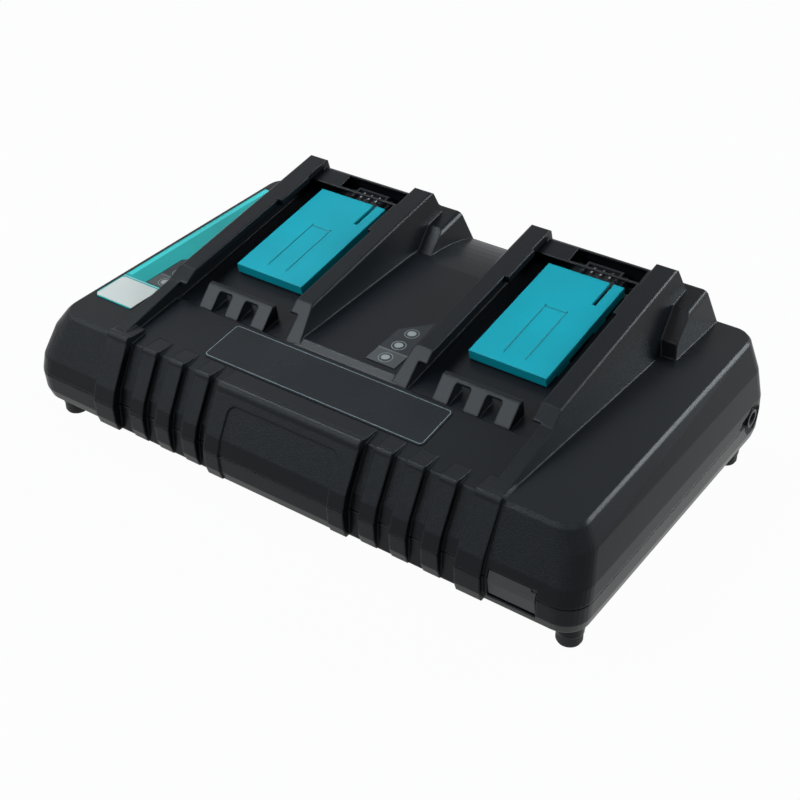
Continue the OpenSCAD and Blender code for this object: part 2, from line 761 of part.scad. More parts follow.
module bottom_housing() {
    color(black_c) difference() {
        union() {
            difference() {
                union() {
                    difference() {
                        lower_form();
                        front_ground_cut();
                    }
                    intersection() {
                        front_bars();
                        translate([-half_w, -half_d, 0]) cube([body_w, body_d, rim_z]);
                    }
                    for (p = foot_list()) translate([p[0], p[1], 0]) foot_boss();
                }
                lower_form(wall);
            }
            intersection() {
                union() {
                    usb_frame();
                    inlet_pad();
                }
                translate([0, -half_d, 0]) cube([half_w, body_d, rim_z]);
            }
            // shelf under the outlet's socket
            translate([usb_mid - socket[0] / 2 + 1, end_y + usb_wall + 1, floor_z - 1])
                cube([socket[0] - 2, socket[1] - 2, socket_z - floor_z + 1]);
            for (p = corner_list()) translate([p[0], p[1], belly_z + eps])
                cylinder(r = boss_r, h = seam_z - belly_z - eps);
            for (p = board_posts()) translate([p[0], p[1], floor_z - 1])
                cylinder(r = post_r, h = board_z - floor_z + 1);
            for (s = [-1, 1], p = fan_posts(s)) translate([p[0], p[1], floor_z - 1])
                cylinder(r = post_r, h = fan_z - floor_z + 1);
            // solid core round each foot's peg
            for (p = foot_list()) translate([p[0], p[1], belly_z + 1]) cylinder(r = foot_peg_r + 2, h = 5);
        }
        for (p = corner_list()) translate([p[0], p[1], 0]) {
            cylinder(d = screw_d + 0.6, h = 40);
            cylinder(d = screw_head_d + 1, h = belly_z + screw_seat);
        }
        for (p = board_posts()) translate([p[0], p[1], floor_z]) cylinder(d = small_screw_d, h = 20);
        for (s = [-1, 1], p = fan_posts(s))
            translate([p[0], p[1], floor_z]) cylinder(d = small_screw_d, h = 20);
        for (p = foot_list()) translate([p[0], p[1], 0]) cylinder(r = foot_peg_r, h = belly_z + 4);
        panel_field();
        usb_cut();
        inlet_cut();
        intake_slots();
    }
}

// moulded boss that carries a rubber foot, flared where it meets the belly
module foot_boss() {
    rotate_extrude() polygon([
        [0, foot_h], [foot_r + 0.3, foot_h], [foot_r + 0.7, belly_z - 2.3], [foot_r + 1.2, belly_z - 0.9],
        [foot_r + 2.1, belly_z + 0.4], [foot_r + 2.1, belly_z + 3.5], [0, belly_z + 3.5]
    ]);
}

// sliding cover: a lid with hooks that run in slots of the channel floor
module terminal_cover(s) {
    half = cover_w / 2;
    l = cover_l / 2;
    low = -slab - cover_gap - hook_t;
    mark = 0.7;                             // width of the shallow channels on the top
    deep = 0.35;
    color(teal_c) at_port(s) {
        difference() {
            translate([-half, -l, cover_gap]) cube([cover_w, cover_l, cover_top - cover_gap]);
            translate([-half + cover_skin, -l + cover_skin, 0])
                cube([cover_w - 2 * cover_skin, cover_l, cover_top - cover_skin]);
            // slot that lets the fixed fin pass
            translate([slot_u - slot_w / 2, slot_v, 0]) cube([slot_w, l, cover_top + 1]);
            for (k = [-1, 1]) translate([k * 5.2 - mark / 2, -l + 6, cover_top - deep]) cube([mark, 34, 1]);
            translate([-5.5, 6, cover_top - deep]) cube([11, mark, 1]);
        }
        for (k = [-1, 1], v = tab_v) {
            translate([k * guide_u - cover_skin / 2 + eps, v, low])
                cube([cover_skin - 2 * eps, tab_l, slab + 2 * cover_gap + 2]);
            translate([k > 0 ? guide_u - hook_w : -guide_u - cover_skin / 2 + eps, v, low])
                cube([hook_w + cover_skin / 2 - eps, tab_l, hook_t]);
        }
        // lug that the spring pushes
        translate([spring_u - lug_w / 2, spring_v0 - lug_t, spring_w - spring_r - 0.6])
            cube([lug_w, lug_t, spring_r + 0.6 - spring_w - slab - cover_gap]);
    }
}

// return spring: a six-sided wire swept along a helix, ring by ring
module cover_spring(s) {
    sides = 6;
    steps = spring_turns * 10;
    rise = spring_v1 - spring_v0 - spring_wire - 2 * eps;
    function ring(t) = let (turn = 360 * spring_turns * t) [
        for (k = [0:sides - 1]) let (a = k * 360 / sides, r = spring_r + spring_wire / 2 * cos(a))
            [r * cos(turn), spring_wire / 2 + eps + rise * t + spring_wire / 2 * sin(a), r * sin(turn)]
    ];
    color(steel_c) at_port(s) translate([spring_u, spring_v0, spring_w]) polyhedron(
        points = [for (i = [0:steps]) each ring(i / steps)],
        faces = concat(
            [[for (k = [sides - 1:-1:0]) k]],
            [for (i = [0:steps - 1], k = [0:sides - 1], far = [0, 1]) let (n = (k + 1) % sides) far == 0
                ? [i * sides + k, i * sides + n, (i + 1) * sides + n]
                : [i * sides + k, (i + 1) * sides + n, (i + 1) * sides + k]],
            [[for (k = [0:sides - 1]) steps * sides + k]]
        )
    );
}

// moulded block in the floor, with the shroud and the fin
module terminal_block(s) {
    flange_u = window_u0 + block_gap;
    flange_v = window_v + block_gap;
    shroud_l = block_v1 - shroud_v;
    color(slate_c) at_port(s) difference() {
        union() {
            translate([flange_u, block_v0 - 2, -slab - block_deep])
                cube([block_u1 - flange_u, block_v1 - block_v0 + 2, block_deep]);
            translate([block_u0 + block_gap, block_v0 + block_gap, -slab - 1])
                cube([block_u1 - 0.2 - block_u0 - 2 * block_gap, 56, slab + 1]);
            translate([flange_u, flange_v, -slab - 1])
                cube([block_u1 - flange_u, block_v1 - flange_v, slab + 1]);
            // shroud of the rear contacts
            translate([shroud_u0, shroud_v, -slab]) cube([shroud_u1 - shroud_u0, shroud_l, slab + 2.2]);
            // fin in the cover's slot
            translate([slot_u - 0.45, flange_v, -slab]) cube([0.9, 2.6, slab + cover_top - 0.3]);
        }
        translate([shroud_u0 + 1.2, shroud_v - 7, -eps])
            cube([shroud_u1 - shroud_u0 - 2.4, shroud_l + 5.8, 4]);
        for (b = power_blades) blade_solid(b, power_v, -slab - block_deep - 1, slab + block_deep + 4);
        for (b = signal_blades) blade_solid(b, signal_v, -slab - block_deep - 1, slab + block_deep + 4);
    }
}

module blade_solid(u, v, w0, h) {
    translate([u - blade_t / 2, v[0], w0]) cube([blade_t, v[1] - v[0], h]);
}

// contact blades that stand in the block
module terminal_blades(s) {
    low = -slab - block_deep - 2;
    color(brass_c) at_port(s) {
        for (b = power_blades) blade_solid(b, power_v, low, 2.2 - low);
        for (b = signal_blades) blade_solid(b, signal_v, low, 1.6 - low);
    }
}

// duct from the fan up to the window of its port
module air_duct(s) {
    inner = fan_side / 2 - 2;
    low = -slab - block_deep - 1.1;
    color(slate_c) difference() {
        hull() {
            translate([s * port_pitch / 2 - fan_side / 2, fan_y - fan_side / 2, fan_z + fan_t])
                cube([fan_side, fan_side, 2]);
            at_port(s) translate([window_u0 - 1, window_v - 1.6, low])
                cube([window_u1 - window_u0 + 2.4, v_wall - cover_gap - window_v + 1.6, 1]);
        }
        hull() {
            translate([s * port_pitch / 2 - inner, fan_y - inner, fan_z + fan_t - 1])
                cube([2 * inner, 2 * inner, 2]);
            at_port(s) translate([window_u0, window_v, low + 0.1])
                cube([window_u1 - window_u0, v_wall - cover_gap - window_v - 1.7, 2]);
        }
    }
}

module fan_frame(s) {
    spoke = 2.4;
    plate = 1.6;
    color(rubber_c) translate([s * port_pitch / 2, fan_y, fan_z]) {
        difference() {
            translate([-fan_side / 2, -fan_side / 2, 0]) cube([fan_side, fan_side, fan_t]);
            translate([0, 0, -1]) cylinder(r = fan_side / 2 - 1.8, h = fan_t + 2, $fn = 64);
            for (i = [-1, 1], k = [-1, 1]) translate([i * fan_hole, k * fan_hole, -1]) {
                cylinder(r = 1.7, h = fan_t + 2);
                translate([0, 0, fan_t + 1 - fan_head]) cylinder(d = fan_head_d + 0.4, h = fan_head + 1);
            }
        }
        // hub carried by four spokes
        difference() {
            union() {
                cylinder(r = hub_r, h = plate);
                for (a = [45:90:359]) rotate([0, 0, a]) translate([0, -spoke / 2, 0])
                    cube([fan_side / 2 - 1.2, spoke, plate]);
                cylinder(r = 3.2, h = 5);
            }
            translate([0, 0, -1]) cylinder(r = shaft_r + shaft_gap, h = 8);
        }
    }
}

module fan_rotor(s) {
    tip = fan_side / 2 - 1.8 - fan_gap;
    chord = 10.8;
    color(slate_c) translate([s * port_pitch / 2, fan_y, fan_z]) {
        difference() {
            translate([0, 0, 2.2]) cylinder(r = hub_r, h = fan_t - 3.2);
            translate([0, 0, 2]) cylinder(r = hub_r - 1.2, h = fan_t - 4.4);
        }
        translate([0, 0, 0.4]) cylinder(r = shaft_r, h = fan_t - 1.6);
        for (i = [0:fan_blades - 1]) rotate([0, 0, i * 360 / fan_blades])
            translate([hub_r - 0.6, 0, fan_t / 2 + 0.6]) rotate([blade_pitch, 0, 0])
                translate([0, -chord / 2, -0.5]) cube([tip - hub_r + 0.2, chord, 1]);
    }
}

module circuit_board() {
    notch = boss_r + 0.8;
    color(board_c) difference() {
        translate([-board_l / 2, board_front, board_z]) cube([board_l, board_d, board_t]);
        for (p = board_posts()) translate([p[0], p[1], board_z - 1]) cylinder(d = 3, h = 4);
        // notch round the middle screw boss
        translate([0, screw_front_y, board_z - 1]) cylinder(r = notch, h = 4);
        translate([-notch, screw_front_y - 20, board_z - 1]) cube([2 * notch, 20, 4]);
    }
}

module transformer() {
    color(slate_c) translate([core_at[0], core_at[1], comp_z]) {
        difference() {
            translate([-core[0] / 2, -core[1] / 2, 0]) cube(core);
            for (k = [-1, 1])
                translate([k * 11.5 - core_slot[0] / 2, -core[1] / 2 - 1, (core[2] - core_slot[1]) / 2])
                    cube([core_slot[0], core[1] + 2, core_slot[1]]);
        }
        translate([0, core[1] / 2, core[2] / 2]) rotate([90, 0, 0]) cylinder(r = coil_r, h = core[1]);
    }
}

module heat_sinks() {
    pitch = (sink[1] - sink_fin[1]) / (sink_fins - 1);
    color(steel_c) for (x = sink_x) translate([x, board_y, comp_z]) {
        translate([-sink[0] / 2, -sink[1] / 2, 0]) cube(sink);
        for (i = [0:sink_fins - 1], k = [0, 1])
            translate([
                k > 0 ? sink[0] / 2 - eps : -sink[0] / 2 - sink_fin[0] + eps, i * pitch - sink[1] / 2, 3
            ]) cube(sink_fin);
    }
}

module capacitor(x, y, r, h) {
    translate([x, y, comp_z]) {
        cylinder(r = r, h = h - 2);
        translate([0, 0, h - 3]) cylinder(r = r - 0.8, h = 3);
    }
}

module capacitors() {
    color(black_c) {
        for (i = [-1, 1]) capacitor(cap_row[0], board_y + i * cap_pitch[0] / 2, cap_r[0], cap_h[0]);
        for (i = [-1, 0, 1]) capacitor(cap_row[1], board_y - 4 + i * cap_pitch[1], cap_r[1], cap_h[1]);
    }
}

module filter_choke() {
    color(brass_c) translate([choke_at[0], choke_at[1], comp_z]) {
        translate([0, 0, choke_r[1] + 0.8]) rotate([90, 0, 0]) rotate_extrude($fn = 48)
            translate([choke_r[0], -choke_t / 2]) square([choke_r[1] - choke_r[0], choke_t]);
        translate([-choke_r[1] + 2.2, -choke_t / 2 - 1, 0]) cube([2 * choke_r[1] - 4.4, choke_t + 2, 2.5]);
    }
}

module buzzer() {
    color(black_c) translate([buzzer_at[0], buzzer_at[1], comp_z]) difference() {
        cylinder(r = buzzer_r, h = buzzer_h);
        translate([0, 0, buzzer_h - 3]) cylinder(r = 1.2, h = 4);
    }
}

module indicator_board(s) {
    color(board_c) translate([window_x(s) - ind_board[0] / 2, window_y[side_of(s)] - ind_board[1] / 2, ind_z])
        cube([ind_board[0], ind_board[1], ind_t]);
}

// light pipes of the charge indicators
module indicator_windows(s) {
    low = ind_z + ind_t;
    color([0.85, 0.87, 0.85]) for (p = window_places(s))
        translate([p[0], p[1], low]) cylinder(r = window_r - window_gap, h = surface_at(s, p[1]) + 0.5 - low);
}

// foil with three round windows, cut off at one corner; it ends where the rail's side comes down
module indicator_label(s) {
    y = window_y[side_of(s)];
    left = foil_left[side_of(s)];
    right = window_side[side_of(s)] - foil_rail;
    color(slate_c) translate([window_x(s), y, surface_at(s, y)])
        rotate([s > 0 ? mid_slope : deck_slope, 0, 0]) linear_extrude(label_t) difference() {
            polygon([
                [-left, -foil_front], [right, -foil_front], [right, foil_back],
                [right - foil_tip[side_of(s)], foil_back], [-left, foil_turn]
            ]);
            for (i = [-1, 0, 1]) translate([0, i * window_pitch]) circle(r = window_r);
        }
}

module nameplate() {
    l = 2 * plate_half;
    d = plate_v[1] - plate_v[0];
    color(slate_c) translate([0, apron_y, apron_z]) rotate([apron_slope, 0, 0]) linear_extrude(label_t)
        translate([-plate_half, plate_v[0]]) {
            translate([plate_r, 0]) square([l - 2 * plate_r, d]);
            translate([0, plate_r]) square([l, d - 2 * plate_r]);
            for (x = [plate_r, l - plate_r], y = [plate_r, d - plate_r])
                translate([x, y]) circle(r = plate_r);
        }
}

// long foil on the left of the deck, which leaves room for the indicator foil
module side_label() {
    left = side_edge - deck_half;
    right = -apron_half - side_rail;
    foil_x = window_x(-1) - foil_left[0] - foil_gap;
    foil_y0 = window_y[0] - foil_front - foil_gap;
    foil_y1 = window_y[0] + foil_turn;
    color(teal_c) on_deck(0) linear_extrude(label_t)
        polygon([
            [left, side_y[0] + side_corner], [left + side_corner, side_y[0]],
            [right, side_y[0]], [right, foil_y0], [foil_x, foil_y0], [foil_x, foil_y1],
            [right, foil_y1 + (right - foil_x) * foil_rise], [right, side_y[1]], [left, side_y[1]]
        ]);
}

// rubber cover of the outlet; it turns about the pins at its lower edge
module usb_cover() {
    g = usb_gap;
    back = usb_pocket - 0.5;
    top = usb_top - g;
    color(rubber_c) difference() {
        union() {
            along_x(usb_x0 + g, usb_x1 - g) polygon([
                [end_y + 1, usb_hinge_z], [end_y, usb_hinge_z + 6], [end_y, parting_z],
                [end_y + (top - parting_z) * crease_in / (crease_z - parting_z), top],
                [end_y + back, top], [end_y + back, usb_hinge_z]
            ]);
            translate([usb_x0 + g, usb_hinge_y, usb_hinge_z]) rotate([0, 90, 0])
                cylinder(r = 1.1, h = usb_w - 2 * g);
            translate([usb_x0 - usb_pin + 0.3, usb_hinge_y, usb_hinge_z]) rotate([0, 90, 0])
                cylinder(r = usb_pin_r, h = usb_w + 2 * usb_pin - 0.6, $fn = 24);
        }
        // finger notch
        translate([usb_x1 - g - 2.2, end_y - 1, top - 1.2]) cube([3, 2.2, 2]);
    }
}

module usb_socket() {
    color(steel_c) translate([usb_mid, end_y + usb_wall + 0.4, socket_z]) difference() {
        translate([-socket[0] / 2, 0, 0]) cube(socket);
        translate([socket_wall - socket[0] / 2, -1, socket_wall])
            cube([socket[0] - 2 * socket_wall, socket_mouth, socket[2] - 2 * socket_wall]);
    }
}

// rubber bush clamped between the shells, for the mains cord
module cord_inlet() {
    x0 = half_w - inlet_deep;
    neck = inlet_r - inlet_gap;
    color(rubber_c) difference() {
        union() {
            eight_sided(x0 - 1.2, inlet_r + inlet_flange, inlet_r + inlet_flange, 2);
            eight_sided(x0, neck, neck, inlet_deep - 2.6);
            translate([x0, inlet_y, inlet_z]) rotate([0, 90, 0]) {
                cylinder(r = inlet_r - 0.9, h = inlet_deep - 0.2);
                for (k = [0, 1])
                    translate([0, 0, inlet_deep - 1.8 + k * 1.1]) cylinder(r = inlet_r - 0.3, h = 0.5);
            }
        }
        translate([x0 - 10, inlet_y, inlet_z]) rotate([0, 90, 0]) cylinder(r = cord_bore, h = 30);
    }
}

module foot(x, y) {
    color(rubber_c) translate([x, y, 0]) {
        cylinder(r1 = foot_r - 0.5, r2 = foot_r, h = 1);
        translate([0, 0, 1]) cylinder(r = foot_r, h = foot_h - 1);
        cylinder(r = foot_peg_r - 0.02, h = belly_z + 3.5);
    }
}

module case_screws() {
    slot = [5, 1.4];
    color(steel_c) for (p = corner_list()) translate([p[0], p[1], belly_z + screw_seat]) {
        translate([0, 0, -screw_head_h]) difference() {
            cylinder(d = screw_head_d, h = screw_head_h);
            for (a = [0, 90]) rotate([0, 0, a])
                translate([-slot[0] / 2, -slot[1] / 2, -1]) cube([slot[0], slot[1], 2.2]);
        }
        cylinder(d = screw_d - 0.02, h = screw_l);
    }
}

module board_screws() {
    color(steel_c) for (p = board_posts()) translate([p[0], p[1], comp_z]) {
        cylinder(d = small_head_d, h = 1.8);
        translate([0, 0, -5]) cylinder(d = small_screw_d - 0.02, h = 6);
    }
}

module fan_screws() {
    color(steel_c) for (s = [-1, 1], p = fan_posts(s)) translate([p[0], p[1], fan_z + fan_t - fan_head]) {
        cylinder(d = fan_head_d, h = fan_head);
        translate([0, 0, fan_head - fan_t - 3]) cylinder(d = small_screw_d - 0.02, h = fan_t + 2);
    }
}

top_housing();
bottom_housing();
terminal_cover(-1);  // terminal_cover_left
terminal_cover(1);  // terminal_cover_right
cover_spring(-1);  // cover_spring_left
cover_spring(1);  // cover_spring_right
terminal_block(-1);  // terminal_block_left
terminal_block(1);  // terminal_block_right
terminal_blades(-1);  // terminal_blades_left
terminal_blades(1);  // terminal_blades_right
air_duct(-1);  // air_duct_left
air_duct(1);  // air_duct_right
fan_frame(-1);  // fan_frame_left
fan_frame(1);  // fan_frame_right
fan_rotor(-1);  // fan_rotor_left
fan_rotor(1);  // fan_rotor_right
circuit_board();
transformer();
heat_sinks();
capacitors();
filter_choke();
indicator_board(-1);  // indicator_board_left
indicator_board(1);  // indicator_board_right
indicator_windows(-1);  // indicator_windows_left
indicator_windows(1);  // indicator_windows_right
indicator_label(-1);  // indicator_label_left
indicator_label(1);  // indicator_label_right
nameplate();
side_label();
usb_cover();
usb_socket();
cord_inlet();
buzzer();
foot(-foot_x, -foot_y);  // foot_front_left
foot(foot_x, -foot_y);  // foot_front_right
foot(-foot_x, foot_y);  // foot_rear_left
foot(foot_x, foot_y);  // foot_rear_right
case_screws();
board_screws();
fan_screws();
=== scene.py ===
import functools
import json
import math

import bmesh
import bpy
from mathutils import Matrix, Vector


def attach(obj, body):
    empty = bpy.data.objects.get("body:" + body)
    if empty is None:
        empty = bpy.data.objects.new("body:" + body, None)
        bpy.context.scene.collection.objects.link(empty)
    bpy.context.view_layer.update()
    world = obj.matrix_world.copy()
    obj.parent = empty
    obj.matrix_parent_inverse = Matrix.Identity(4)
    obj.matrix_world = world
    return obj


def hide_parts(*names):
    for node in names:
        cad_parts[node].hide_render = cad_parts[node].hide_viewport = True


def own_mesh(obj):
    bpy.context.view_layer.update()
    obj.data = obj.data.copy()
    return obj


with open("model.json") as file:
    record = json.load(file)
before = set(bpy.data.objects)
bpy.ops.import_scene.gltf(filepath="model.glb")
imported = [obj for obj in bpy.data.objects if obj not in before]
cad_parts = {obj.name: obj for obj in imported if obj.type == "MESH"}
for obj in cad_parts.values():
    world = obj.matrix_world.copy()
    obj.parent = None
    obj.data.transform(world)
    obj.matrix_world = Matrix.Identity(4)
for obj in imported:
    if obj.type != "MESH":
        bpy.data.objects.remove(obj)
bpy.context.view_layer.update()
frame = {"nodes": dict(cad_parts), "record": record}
nodes = frame["nodes"]
HOUSING = "housing"
MM = 0.001


# ---------------------------------------------------------------- node helpers
class Tree:
    """A node tree with short calls for its nodes."""

    def __init__(self, tree):
        self.tree = tree

    def feed(self, socket, value):
        """Links a socket to the input, or sets the input to a plain value."""
        if isinstance(value, bpy.types.NodeSocket):
            self.tree.links.new(value, socket)
        else:
            socket.default_value = value

    def add(self, kind, inputs=None, **props):
        """A new node, with its properties and its inputs by name or number."""
        node = self.tree.nodes.new(kind)
        for key, value in props.items():
            setattr(node, key, value)
        for key, value in (inputs or {}).items():
            self.feed(node.inputs[key], value)
        return node

    def span(self, fac, a, b, lo, hi, curve="LINEAR"):
        """Maps fac from a..b to lo..hi, held at the ends."""
        return self.add("ShaderNodeMapRange", {
            "Value": fac, "From Min": a, "From Max": b, "To Min": lo, "To Max": hi,
        }, clamp=True, interpolation_type=curve).outputs["Result"]

    def math(self, op, a, b=None):
        inputs = {0: a} if b is None else {0: a, 1: b}
        return self.add("ShaderNodeMath", inputs, operation=op).outputs[0]

    def split(self, vector, i):
        """One axis of a vector: 0 is x, 1 is y and 2 is z."""
        return self.add("ShaderNodeSeparateXYZ", {0: vector}).outputs[i]

    def background_rays(self):
        """1 for a camera, a glossy or a transmission ray, else 0."""
        path = self.add("ShaderNodeLightPath").outputs
        seen = self.math("MAXIMUM", path["Is Camera Ray"], path["Is Glossy Ray"])
        return self.math("MAXIMUM", seen, path["Is Transmission Ray"])


class Mat(Tree):
    """A procedural material on a Principled shader."""

    def __init__(self, name, color, rough, metallic=0.0, spec=0.5):
        self.m = bpy.data.materials.new(name)
        self.m.use_nodes = True
        super().__init__(self.m.node_tree)
        self.bsdf = self.tree.nodes["Principled BSDF"]
        self.set("Base Color", (*color, 1))
        self.set("Roughness", rough)
        self.set("Metallic", metallic)
        self.set("Specular IOR Level", spec)

    @functools.cached_property
    def coord(self):
        return self.add("ShaderNodeTexCoord").outputs["Object"]

    def set(self, name, value):
        self.feed(self.bsdf.inputs[name], value)

    def noise(self, scale, detail=3.0, rough=0.5, stretch=None):
        where = self.coord
        if stretch:
            mapping = self.add("ShaderNodeMapping", {"Vector": where, "Scale": stretch})
            where = mapping.outputs["Vector"]
        return self.add("ShaderNodeTexNoise", {
            "Vector": where, "Scale": scale, "Detail": detail, "Roughness": rough,
        }).outputs["Fac"]

    def mix(self, fac, a, b):
        """Colour a where fac is 0 and b where it is 1."""
        a, b = ((*c, 1) if isinstance(c, tuple) else c for c in (a, b))
        node = self.add("ShaderNodeMix", {0: fac}, data_type="RGBA")
        self.feed(node.inputs[6], a)
        self.feed(node.inputs[7], b)
        return node.outputs[2]

    def mix_value(self, fac, a, b):
        """Value a where fac is 0 and b where it is 1."""
        return self.add("ShaderNodeMix", {0: fac, 2: a, 3: b}, data_type="FLOAT").outputs[0]

    def mottle(self, fac, base, dark, light, a=0.3, b=0.7):
        """The base colour, darker where fac is low and lighter where it is high."""
        return self.mix(self.span(fac, a, b, 0, 1), scaled(base, dark), scaled(base, light))

    def bump(self, height, distance, strength, under=None):
        inputs = {"Strength": strength, "Distance": distance, "Height": height}
        if under is not None:
            inputs["Normal"] = under
        return self.add("ShaderNodeBump", inputs).outputs["Normal"]

    def rounded(self, radius):
        """Shading normal that rounds the sharp edges, as a mould does."""
        return self.add("ShaderNodeBevel", {"Radius": radius}, samples=6).outputs["Normal"]

    def axis(self, i):
        return self.split(self.coord, i)

    def normal_axis(self, i):
        return self.split(self.add("ShaderNodeNewGeometry").outputs["Normal"], i)

    def inset(self, x, y, box, corner):
        """Distance in from the edge of a rounded rectangle (x0, y0, x1, y1)."""
        x0, y0, x1, y1 = box
        far = []
        for v, lo, hi in ((x, x0, x1), (y, y0, y1)):
            off = self.math("ABSOLUTE", self.math("SUBTRACT", v, (lo + hi) / 2))
            far.append(self.math("SUBTRACT", off, (hi - lo) / 2 - corner))
        out = [self.math("POWER", self.math("MAXIMUM", v, 0.0), 2.0) for v in far]
        round_part = self.math("SQRT", self.math("ADD", *out))
        flat_part = self.math("MINIMUM", self.math("MAXIMUM", *far), 0.0)
        return self.math("SUBTRACT", corner, self.math("ADD", round_part, flat_part))

    def band(self, v, a, b, soft=0.06 * MM):
        """One where v is between a and b, with soft edges."""
        up = self.span(v, a - soft, a + soft, 0, 1)
        return self.math("MULTIPLY", up, self.span(v, b - soft, b + soft, 1, 0))


def scaled(color, k):
    return tuple(v * k for v in color)


def box_mm(*edges):
    """The edges x0, y0, x1, y1 of a box, from millimetres."""
    return tuple(edge * MM for edge in edges)


# ---------------------------------------------------------------- materials
CREASE_Z = 33 * MM                          # the front is grained above its crease
CREASE_SOFT = 0.8 * MM
GRAIN_Y = -66 * MM                          # and in front of this line
GRAIN_SOFT = 3 * MM
LEAN = (-0.30, -0.55)                       # and where its normal leans forward
SHELL_EDGE, COVER_EDGE = 1.1 * MM, 0.6 * MM  # rounding of the edges
DARK_SPEC = 0.12                            # low, so that the white room keeps them dark


def shell_material():
    """Black moulded plastic: satin, and grained on the leaning faces of the front."""
    base = (0.0040, 0.0050, 0.0064)
    m = Mat("shell_plastic", base, 0.36, spec=0.11)
    z, y = m.axis(2), m.axis(1)
    above = m.span(z, CREASE_Z, CREASE_Z + CREASE_SOFT, 0, 1)
    front = m.span(y, GRAIN_Y + GRAIN_SOFT, GRAIN_Y, 0, 1)
    facing = m.span(m.normal_axis(1), *LEAN, 0, 1)
    zone = m.math("MULTIPLY", m.math("MULTIPLY", above, front), facing)
    grain = m.noise(2600, 2.0, 0.6)
    coarse = m.noise(1300, 2.0, 0.5)
    fine = m.noise(2600, 2.0, 0.5)
    cloud = m.noise(14, 3.0, 0.5)
    speck = m.math("ADD", m.span(grain, 0.42, 0.66, 0, 1), m.span(coarse, 0.35, 0.7, 0, 0.6))
    rough_grain = m.span(speck, 0.2, 1.3, 0.44, 0.28)
    rough_plain = m.math("ADD", m.span(cloud, 0.3, 0.7, 0.25, 0.30),
                         m.span(fine, 0.3, 0.7, 0, 0.05))
    m.set("Roughness", m.mix_value(zone, rough_plain, rough_grain))
    m.set("Base Color", m.mottle(cloud, base, 0.92, 1.12))
    grained = m.bump(m.math("MULTIPLY", speck, zone), 0.00007, 0.6, m.rounded(SHELL_EDGE))
    m.set("Normal", m.bump(fine, 0.00002, 0.35, grained))
    return m.m


def cover_material():
    """Teal plastic of the two terminal covers."""
    base = (0.0, 0.210, 0.262)
    m = Mat("cover_plastic", base, 0.42, spec=0.15)
    cloud = m.noise(30)
    fine = m.noise(2200, 2.0)
    m.set("Base Color", m.mottle(cloud, base, 0.95, 1.05, 0.35, 0.65))
    m.set("Roughness", m.span(cloud, 0.3, 0.7, 0.38, 0.48))
    m.set("Normal", m.bump(fine, 0.00003, 0.5, m.rounded(COVER_EDGE)))
    return m.m


def plain_plastic(name, base, rough, grain=1500, depth=0.00003, spec=DARK_SPEC):
    m = Mat(name, base, rough, spec=spec)
    cloud = m.noise(40)
    m.set("Base Color", m.mottle(cloud, base, 0.9, 1.12))
    m.set("Roughness", m.span(cloud, 0.3, 0.7, rough * 0.92, rough * 1.1))
    m.set("Normal", m.bump(m.noise(grain, 2.0), depth, 0.5))
    return m.m


def metal(name, base, rough, stretch=(1, 1, 1)):
    m = Mat(name, base, rough, metallic=1.0)
    lines = m.noise(900, 3.0, 0.6, stretch)
    m.set("Base Color", m.mottle(lines, base, 0.88, 1.05))
    m.set("Roughness", m.span(lines, 0.3, 0.7, rough * 0.8, rough * 1.25))
    m.set("Normal", m.bump(lines, 0.00002, 0.4))
    return m.m


def board_material():
    """Green lacquer with a pattern of tracks."""
    green = (0.012, 0.10, 0.045)
    m = Mat("circuit_board", green, 0.32)
    tracks = m.add("ShaderNodeTexBrick", {
        "Vector": m.coord, "Scale": 90, "Mortar Size": 0.06, "Color1": (*green, 1),
        "Color2": (0.016, 0.13, 0.055, 1), "Mortar": (0.03, 0.18, 0.08, 1)})
    m.set("Base Color", tracks.outputs["Color"])
    m.set("Normal", m.bump(tracks.outputs["Fac"], 0.00003, 0.5))
    return m.m


PLATE_BOX, PLATE_CORNER = box_mm(-56.8, -59.78, 56.8, -36.44), 2.5 * MM
PLATE_LINE = (0.75 * MM, 1.05 * MM)         # the outline, in from the plate's edge

WINDOW_PITCH = 9.6 * MM                     # the three windows of an indicator foil
RING = (2.9 * MM, 3.2 * MM)                 # radii of the ring round a window
DISC = (1.5 * MM, 2.55 * MM)                # and of the dark band inside it
FIELD_EDGE = (-4.9 * MM, -4.7 * MM)         # the front field's edge, from the middle window
FIELD_LINES, FIELD_LINE = (-4.95 * MM, -4.55 * MM), 0.15 * MM

STRIP_X = (-128.4 * MM, -126.0 * MM)        # light strip of the long foil
STRIP_START = (-31 * MM, -30 * MM)
PALE_BOX, PALE_CORNER = box_mm(-128.4, -51.6, -101.0, -33.4), 1.6 * MM
PALE_SOFT = 0.05 * MM
RULE_Y = (-32.6 * MM, -32.2 * MM)           # thin line behind the pale field


def printed_foil(name, base, rough):
    """A printed foil before its print: returns the material, its colour and x, y."""
    m = Mat(name, base, rough, spec=DARK_SPEC)
    cloud = m.noise(45)
    m.set("Roughness", m.span(cloud, 0.3, 0.7, rough * 0.93, rough * 1.08))
    m.set("Normal", m.bump(m.noise(2000, 2.0), 0.00001, 0.4))
    return m, m.mottle(cloud, base, 0.93, 1.08), m.axis(0), m.axis(1)


def nameplate_material():
    """Bare slate plate with a thin pale outline; there is no name on it."""
    m, color, x, y = printed_foil("nameplate_foil", (0.007, 0.009, 0.011), 0.27)
    edge = m.inset(x, y, PLATE_BOX, PLATE_CORNER)
    m.set("Base Color", m.mix(m.band(edge, *PLATE_LINE), color, (0.13, 0.16, 0.17)))
    return m.m


